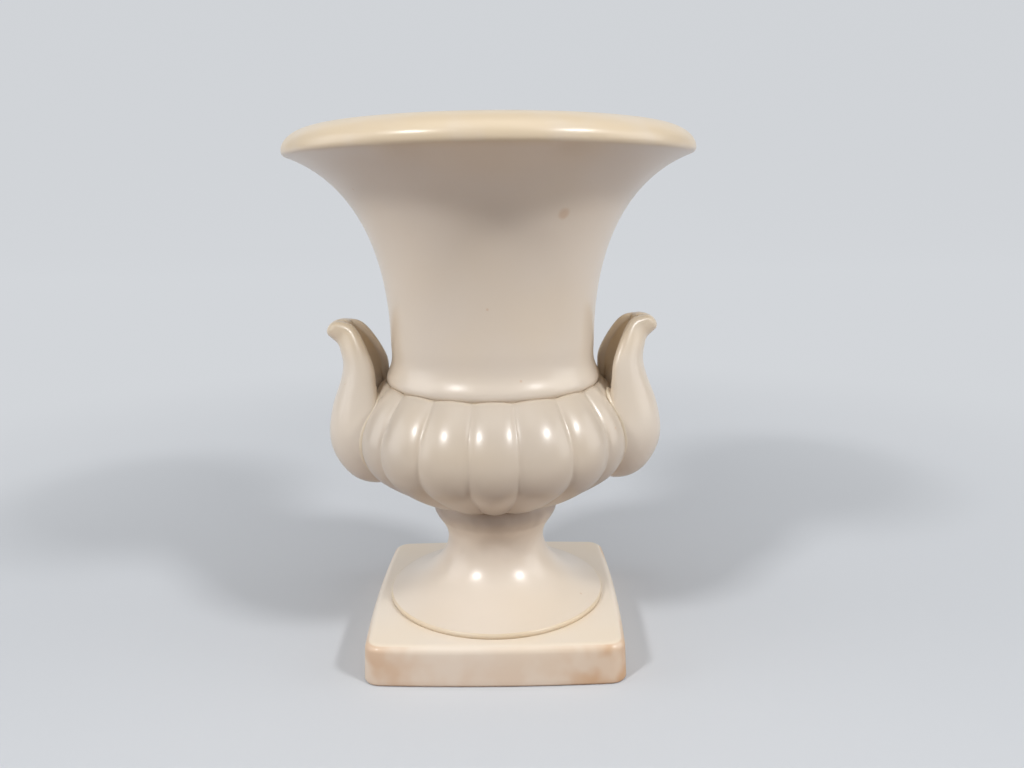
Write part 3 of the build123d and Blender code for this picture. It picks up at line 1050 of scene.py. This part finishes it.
@dataclass
class LeafHandle(Casting):
    """Leaf handle: a full bulb against the bowl that opens into a trough with a curled tip."""

    side: Side = Side.RIGHT
    belly_radius: float = 53.9
    seat: float = 60.0
    fan: tuple[float, float] = (-12.0, 28.0)
    fan_radius: float = 5.0
    bury: float = 2.0
    outside_points: int = 36
    brow_points: int = 8
    rib_steps: int = 8
    nose: float = 4.0
    nose_taper: float = 10.0
    nose_rings: int = 8
    crown: float = 0.2
    bulb_rise: float = 25.8
    lift: float = 0.0
    out: float = 0.0
    lean: float = 0.0
    twist: float = 4.0
    twist_full: float = 58.0
    trough_cream: float = 0.7
    cream_band: tuple[float, float] = (46.0, 52.0)
    trough_pool: float = 0.2
    pool_band: tuple[float, float] = (47.0, 56.0)
    tip_cream: float = 0.6
    tip_band: tuple[float, float] = (56.0, 70.0)
    nose_close: float = 87.0
    groove: tuple[Vector, ...] = ()

    def __post_init__(self) -> None:
        """Take names from the side."""
        word = self.side.name.lower()
        self.name = f"{word}_handle_casting"
        self.node = f"{word}_handle"

    def ribs(self) -> list[Rib]:
        """The ribs that carry the leaf, from its root inside the bowl to its tip."""
        bulb = [
            ((-16.0, 9.0), 12.0),
            ((-6.0, 5.2), 15.0),
            ((3.6, 7.4), 16.6),
            ((10.4, 14.6), 17.8),
            ((14.0, 25.8), 18.3),
            ((12.6, 36.8), 18.3),
        ]
        ribs = []
        for keel, half_width in bulb:
            way = (Vector(keel) - Vector(self.fan)).normalized()
            edge = Vector(self.fan) + way * self.fan_radius
            ribs.append(Rib(keel, (edge.x, edge.y), half_width, 5.0, 0.0))
        ribs.append(Rib((9.9, 44.8), (-6.4, 47.8), 16.0, 5.0, 0.15))
        ribs.append(Rib((6.9, 55.4), (-5.4, 57.6), 14.4, 4.4, 1.0))
        ribs.append(Rib((7.7, 61.2), (-1.4, 65.7), 11.4, 4.4, 1.0))
        ribs.append(Rib((9.2, 64.4), (3.0, 70.8), 8.4, 4.4, 0.3))
        ribs.append(Rib((10.6, 65.6), (5.5, 71.5), 7.5, 4.4, -0.8))
        ribs.append(Rib((11.9, 66.7), (7.8, 71.9), 6.7, 4.0, -1.0))
        return ribs

    def fine_ribs(self) -> list[Rib]:
        """Ribs close together, on smooth lines through the carrying ribs."""
        ribs = self.ribs()
        knots = [Vector((*rib.keel, *rib.edge, rib.half_width, rib.wall, rib.scoop)) for rib in ribs]
        spans = [self.gap(before, after) for before, after in zip(ribs, ribs[1:])]
        headings = smooth_headings(knots, spans)
        fine = []
        for place, span in enumerate(spans):
            for step in range(self.rib_steps):
                share = step / self.rib_steps
                fine.append(self.between(knots, headings, place, span, share))
        fine.append(ribs[-1])
        return fine

    def gap(self, before: Rib, after: Rib) -> float:
        """Mean distance between the outsides of two ribs."""
        pairs = list(zip(self.ring(before), self.ring(after)))[: self.outside_points]
        return sum((first - second).length for first, second in pairs) / len(pairs)

    @staticmethod
    def between(knots: list[Vector], headings: list[Vector], place: int, span: float, share: float) -> Rib:
        """Rib at a share of the way from one carrying rib to the next.

        Args:
            knots: the carrying ribs as rows of numbers.
            headings: how fast each row changes there.
            place: number of the carrying rib before the wanted one.
            span: length between the two carrying ribs.
            share: share of that length.

        Returns:
            The rib between.
        """
        start, stop = knots[place], knots[place + 1]
        leave, arrive = headings[place] * span, headings[place + 1] * span
        square, cube = share**2, share**3
        row = start * (2.0 * cube - 3.0 * square + 1.0) + leave * (cube - 2.0 * square + share)
        row = row + stop * (3.0 * square - 2.0 * cube) + arrive * (cube - square)
        scoop = min(max(row[6], -1.0), 1.0)
        return Rib((row[0], row[1]), (row[2], row[3]), row[4], row[5], scoop)

    def ring(self, rib: Rib) -> list[Vector]:
        """Closed ring of points round one rib: outside, brow, trough, brow.

        Args:
            rib: the rib to draw.

        Returns:
            Points in millimetres, in order round the ring.
        """
        keel, edge = Vector(rib.keel), Vector(rib.edge)
        depth = keel - edge
        inwards = -depth.normalized()
        trough = (depth + inwards * rib.wall) * max(rib.scoop, 0.0)
        crest = inwards * (rib.wall / 2.0)
        fill = max(-rib.scoop, 0.0)
        inner = rib.half_width - rib.wall
        middle = rib.half_width - rib.wall / 2.0
        turns = [math.pi * step / self.brow_points for step in range(self.brow_points)]
        points = []
        for step in range(self.outside_points):
            turn = math.pi * step / self.outside_points
            points.append((edge + depth * math.sin(turn), -rib.half_width * math.cos(turn)))
        for turn in turns:
            points.append((edge + crest * self.brow(turn, fill), middle + rib.wall / 2.0 * math.cos(turn)))
        for step in range(self.outside_points):
            turn = math.pi * step / self.outside_points
            crown = fill * (1.0 + self.crown * math.sin(turn))
            points.append((edge + trough * math.sin(turn) + crest * crown, inner * math.cos(turn)))
        for turn in turns:
            out = edge + crest * self.brow(math.pi - turn, fill)
            points.append((out, -middle + rib.wall / 2.0 * math.cos(turn)))
        return [self.settled(point, across) for point, across in points]

    @staticmethod
    def brow(turn: float, fill: float) -> float:
        """Height of a brow at a turn from its outer foot, where a filled tip keeps its inner half up."""
        return max(math.sin(turn), fill) if turn > math.pi / 2.0 else math.sin(turn)

    def settled(self, point: Vector, across: float) -> Vector:
        """Place of a rib's point on the vase, with the leaf set as it was stuck on."""
        turn = math.radians(self.twist) * eased(point.y, self.bulb_rise, self.twist_full)
        reach = point.x * math.cos(turn) - across * math.sin(turn)
        aside = point.x * math.sin(turn) + across * math.cos(turn)
        out = self.out - self.lean * (point.y - self.bulb_rise)
        return Vector((self.belly_radius + reach + out, aside, self.seat + point.y + self.lift))

    def keep_out(self, place: Vector) -> Vector:
        """Place of a point, kept from reaching through the bowl's wall."""
        radius = math.hypot(place.x, place.y)
        spot = Vector((radius, place.z))
        nearest = min(range(1, len(self.groove) - 1), key=lambda i: (self.groove[i] - spot).length_squared)
        heading = (self.groove[nearest + 1] - self.groove[nearest - 1]).normalized()
        out = Vector((heading.y, -heading.x))
        depth = (spot - self.groove[nearest]).dot(out)
        if depth > -self.bury or spot.y > self.groove[-1].y:
            return place
        kept = self.groove[nearest] - out * self.bury
        return Vector((place.x * kept.x / radius, place.y * kept.x / radius, kept.y))

    def rings(self) -> list[list[Vector]]:
        """All the rings of the leaf, with a nose that goes on from the last ribs' taper."""
        rings = [[self.keep_out(point) for point in self.ring(rib)] for rib in self.fine_ribs()]
        keel = self.outside_points // 2
        tongue = keel + self.outside_points + self.brow_points
        middles = [(ring[keel] + ring[tongue]) / 2.0 for ring in rings[-2:]]
        forward = (middles[1] - middles[0]).normalized()
        last = rings[-1]
        taper = math.radians(self.nose_taper)
        for step in range(1, self.nose_rings + 1):
            turn = taper + (math.radians(self.nose_close) - taper) * step / self.nose_rings
            middle = middles[1] + forward * (self.nose * (math.sin(turn) - math.sin(taper)))
            share = math.cos(turn) / math.cos(taper)
            rings.append([middle + (point - middles[1]) * share for point in last])
        return rings

    def model(self, form: BMesh) -> None:
        """Draw the first rib and extrude it from rib to rib, up to the nose."""
        order = form.verts.layers.int.new("order")
        rings = self.rings()
        verts = [form.verts.new(point) for point in rings[0]]
        for place, vert in enumerate(verts):
            vert[order] = place
        edges = [form.edges.new(pair) for pair in zip(verts, verts[1:] + verts[:1])]
        bmesh.ops.contextual_create(form, geom=edges)
        for ring in rings[1:]:
            grown = bmesh.ops.extrude_edge_only(form, edges=edges)["geom"]
            edges = only(BMEdge, grown)
            for vert in only(BMVert, grown):
                vert.co = ring[vert[order]]
                self.mark_trough(form, vert, vert[order])
        bmesh.ops.contextual_create(form, geom=edges)
        bmesh.ops.scale(form, verts=form.verts, vec=(self.side.value, 1.0, 1.0))

    def mark_trough(self, form: BMesh, vert: BMVert, order: int) -> None:
        """Mark creamy glaze in the trough, pooled at its floor.

        Args:
            form: the leaf so far.
            vert: a point of its newest ring.
            order: the point's place round the ring.
        """
        first = self.outside_points + self.brow_points
        inside = first < order < first + self.outside_points
        rise = vert.co.z - self.seat
        thin = form.verts.layers.float[Mark.THIN.value]
        pooled = form.verts.layers.float[Mark.POOLED.value]
        low, high = self.pool_band
        vert[thin] = self.trough_cream * eased(rise, *self.cream_band) if inside else 0.0
        vert[pooled] = self.trough_pool * eased(-rise, -high, -low) if inside else 0.0

    def extra(self, mark: Mark, place: Vector) -> float:
        """The tip is thinly glazed."""
        if mark is Mark.THIN:
            return self.tip_cream * eased(place.z - self.seat, *self.tip_band)
        return 0.0


@dataclass
class HandleSlip(Casting):
    """Soft line of slip round a handle, swollen out of the thin bed between handle and bowl."""

    bed: Object | None = None
    slot: Slot = Slot.SEAM
    finish: GlazeFinish = SEAM
    swell: float = 0.6
    lift: float = 0.0
    bed_weld: float = 0.01
    voxel: float = 0.45
    passes: int = 6
    ease: float = 0.5

    def __post_init__(self) -> None:
        """Take names from the bed."""
        self.node = self.bed.name
        self.name = f"{self.bed.name}_line"

    def model(self, form: BMesh) -> None:
        """Swell a copy of the bed, remesh it and smooth it."""
        form.from_mesh(self.bed.data)
        bmesh.ops.scale(form, verts=form.verts, vec=(1.0 / MILLIMETRE,) * 3)
        bmesh.ops.remove_doubles(form, verts=form.verts, dist=self.bed_weld)
        form.normal_update()
        for vert in form.verts:
            vert.co += vert.normal * self.swell + Vector((0.0, 0.0, self.lift))
        rough = bpy.data.meshes.new("slip_rough")
        form.to_mesh(rough)
        carrier = linked("slip_rough", rough)
        remesh = carrier.modifiers.new("even", "REMESH")
        remesh.mode = "VOXEL"
        remesh.voxel_size = self.voxel
        graph = bpy.context.evaluated_depsgraph_get()
        even = bpy.data.meshes.new_from_object(carrier.evaluated_get(graph))
        form.clear()
        form.from_mesh(even)
        for mark in Mark:
            if mark.value not in form.verts.layers.float:
                form.verts.layers.float.new(mark.value)
        bpy.data.objects.remove(carrier)
        bpy.data.meshes.remove(rough)
        bpy.data.meshes.remove(even)
        for _ in range(self.passes):
            bmesh.ops.smooth_vert(
                form, verts=form.verts, factor=self.ease, use_axis_x=True, use_axis_y=True, use_axis_z=True
            )


@dataclass
class RingSeam:
    """A thin ring of slip between two castings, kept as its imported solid."""

    kit: GlazeKit
    node: Object
    finish: GlazeFinish = SEAM

    def dress(self) -> Object:
        """Give the ring its finish on its own material slot."""
        holder = self.node.material_slots[0]
        holder.link = "OBJECT"
        holder.material = self.kit.material(self.finish)
        return self.node


@dataclass
class Studio:
    """Pale sweep, two soft lamps at the front and broad fills from above and from the sides."""

    sweep_half: float = 3.0
    sweep_front: float = -1.6
    sweep_back: float = 1.6
    sweep_turn: float = 1.8
    sweep_top: float = 2.0
    sweep_steps: int = 16
    sweep_roughness: float = 0.85
    sweep_specular: float = 0.2
    paper: Colour = shown(208, 211, 215)
    bounce: Colour = shown(138, 114, 102)
    near: float = 0.16
    far: float = 0.6
    lamp_distance: float = 2.3
    lamp_size: tuple[float, float] = (0.4, 0.2)
    lamp_power: float = 21.5
    left_azimuth: float = -44.0
    right_azimuth: float = 54.0
    lamp_elevation: float = 38.0
    aim_height: float = 0.11
    fill_elevation: float = 75.0
    fill_distance: float = 2.6
    fill_size: tuple[float, float] = (2.2, 2.2)
    fill_power: float = 15.0
    side_azimuth: float = 86.0
    side_elevation: float = 16.0
    side_distance: float = 2.0
    side_size: tuple[float, float] = (1.3, 1.3)
    side_power: float = 10.0
    sky: float = 0.2
    sky_colour: Colour = shown(244, 246, 250)

    def lay_sweep(self) -> Object:
        """Floor that curves up into a backdrop."""
        form = bmesh.new()
        ends = [form.verts.new((x * self.sweep_half, self.sweep_front, 0.0)) for x in (-1.0, 1.0)]
        edge = form.edges.new(ends)
        floor = bmesh.ops.extrude_edge_only(form, edges=[edge])["geom"]
        far = only(BMVert, floor)
        bmesh.ops.translate(form, verts=far, vec=(0.0, self.sweep_back - self.sweep_front, 0.0))
        swung = bmesh.ops.spin(
            form,
            geom=far + only(BMEdge, floor),
            cent=(0.0, self.sweep_back, self.sweep_turn),
            axis=(1.0, 0.0, 0.0),
            angle=math.pi / 2.0,
            steps=self.sweep_steps,
        )["geom_last"]
        wall = bmesh.ops.extrude_edge_only(form, edges=only(BMEdge, swung))["geom"]
        bmesh.ops.translate(form, verts=only(BMVert, wall), vec=(0.0, 0.0, self.sweep_top))
        bmesh.ops.recalc_face_normals(form, faces=form.faces)
        mesh = bpy.data.meshes.new("paper_sweep")
        form.to_mesh(mesh)
        form.free()
        mesh.shade_smooth()
        material = bpy.data.materials.new("paper_sweep")
        shader = surface_shader(material)
        self.colour_sweep(NodeBoard(material.node_tree), shader)
        mesh.materials.append(material)
        sweep = linked("paper_sweep", mesh)
        return sweep

    def colour_sweep(self, board: NodeBoard, shader: Node) -> None:
        """Show the paper pale and even, with the shadow kept near the vase.

        Args:
            board: tree of the paper's material.
            shader: its surface shader.
        """
        rays = board.place("ShaderNodeLightPath").outputs
        seen = board.math("MAXIMUM", rays["Is Camera Ray"], rays["Is Glossy Ray"])
        seen = board.math("MAXIMUM", seen, rays["Is Transmission Ray"])
        length = board.place("ShaderNodeVectorMath", operation="LENGTH")
        board.feed(length.inputs[0], board.place("ShaderNodeTexCoord").outputs["Object"])
        distant = board.ramp(length.outputs["Value"], self.near, self.far, 0.0, 1.0)
        glow = board.math("MULTIPLY", seen, distant)
        floor = board.mix(distant, self.bounce, self.paper)
        lit = board.mix(seen, floor, self.paper)
        board.feed(shader.inputs["Base Color"], board.mix(glow, lit, shown(0, 0, 0)))
        board.feed(shader.inputs["Emission Color"], self.paper)
        board.feed(shader.inputs["Emission Strength"], glow)
        board.feed(shader.inputs["Roughness"], self.sweep_roughness)
        board.feed(shader.inputs["Specular IOR Level"], self.sweep_specular)

    def hang_lamp(
        self,
        name: str,
        azimuth: float,
        elevation: float,
        distance: float,
        size: tuple[float, float],
        power: float,
    ) -> Object:
        """Soft lamp that faces the vase.

        Args:
            name: name of the lamp.
            azimuth: degrees to the right of the front.
            elevation: degrees above the horizon.
            distance: metres from the vase.
            size: width and height of the lamp in metres.
            power: watts.

        Returns:
            The lamp.
        """
        light = bpy.data.lights.new(name, "AREA")
        light.shape = "RECTANGLE"
        light.size, light.size_y = size
        light.energy = power
        lamp = linked(name, light)
        turn, tilt = math.radians(azimuth), math.radians(elevation)
        way = Vector((math.sin(turn) * math.cos(tilt), -math.cos(turn) * math.cos(tilt), math.sin(tilt)))
        lamp.location = Vector((0.0, 0.0, self.aim_height)) + way * distance
        lamp.rotation_euler = way.to_track_quat("Z", "Y").to_euler()
        return lamp

    def light(self) -> None:
        """Hang the lamps and set the room's soft light."""
        lamp = (self.lamp_elevation, self.lamp_distance, self.lamp_size, self.lamp_power)
        fill = (self.fill_elevation, self.fill_distance, self.fill_size, self.fill_power)
        side = (self.side_elevation, self.side_distance, self.side_size, self.side_power)
        self.hang_lamp("left_lamp", self.left_azimuth, *lamp)
        self.hang_lamp("right_lamp", self.right_azimuth, *lamp)
        self.hang_lamp("overhead_fill", 0.0, *fill)
        self.hang_lamp("left_fill", -self.side_azimuth, *side)
        self.hang_lamp("right_fill", self.side_azimuth, *side)
        world = bpy.data.worlds.new("studio")
        world.use_nodes = True
        room = world.node_tree.nodes["Background"]
        room.inputs["Color"].default_value = self.sky_colour
        room.inputs["Strength"].default_value = self.sky
        bpy.context.scene.world = world
        bpy.context.scene.view_settings.view_transform = "Standard"


@dataclass
class PhotoCamera:
    """Camera at the photograph's place, in millimetres and degrees."""

    place: tuple[float, float, float] = (8.7, -344.4, 184.0)
    pitch: float = 12.73
    yaw: float = -0.18
    roll: float = -0.69
    focal_pixels: float = 860.0
    image_width: float = 1024.0
    sensor: float = 36.0
    clip_start: float = 0.01

    def set_up(self) -> Object:
        """Make the camera and give it to the scene."""
        lens = bpy.data.cameras.new("photo_camera")
        lens.sensor_fit = "HORIZONTAL"
        lens.sensor_width = self.sensor
        lens.lens = self.sensor * self.focal_pixels / self.image_width
        lens.clip_start = self.clip_start
        camera = linked("photo_camera", lens)
        turn = Matrix.Rotation(math.radians(-self.yaw), 4, "Z")
        turn @= Matrix.Rotation(math.radians(90.0 - self.pitch), 4, "X")
        turn @= Matrix.Rotation(math.radians(self.roll), 4, "Z")
        camera.matrix_world = Matrix.Translation(Vector(self.place) * MILLIMETRE) @ turn
        bpy.context.scene.camera = camera
        return camera


def main() -> None:
    """Build the vase, the studio and the camera in order, and report each piece."""
    logging.basicConfig(level=logging.INFO, format="%(message)s")
    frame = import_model()
    PhotoCamera().set_up()
    kit = GlazeKit()
    bowl = GadroonedBowl(kit)
    groove = tuple(bowl.groove_line())
    castings: list[Casting] = [
        BellNeck(kit),
        bowl,
        PedestalStem(kit),
        SquarePlinth(kit),
        LeafHandle(kit, side=Side.RIGHT, groove=groove, lift=1.2, out=0.85, lean=0.031, twist=8.0),
        LeafHandle(kit, side=Side.LEFT, groove=groove),
        HandleSlip(kit, bed=frame["nodes"]["right_handle_slip_joint"], lift=1.2),
        HandleSlip(kit, bed=frame["nodes"]["left_handle_slip_joint"]),
    ]
    for casting in castings:
        piece = casting.make()
        LOG.info("%s: %d faces", piece.name, len(piece.data.polygons))
    for name in ("plinth_slip_joint", "stem_slip_joint", "bell_slip_joint"):
        ring = RingSeam(kit, frame["nodes"][name]).dress()
        LOG.info("%s: dressed", ring.name)
    studio = Studio()
    studio.lay_sweep()
    studio.light()


if __name__ == "__main__":
    main()
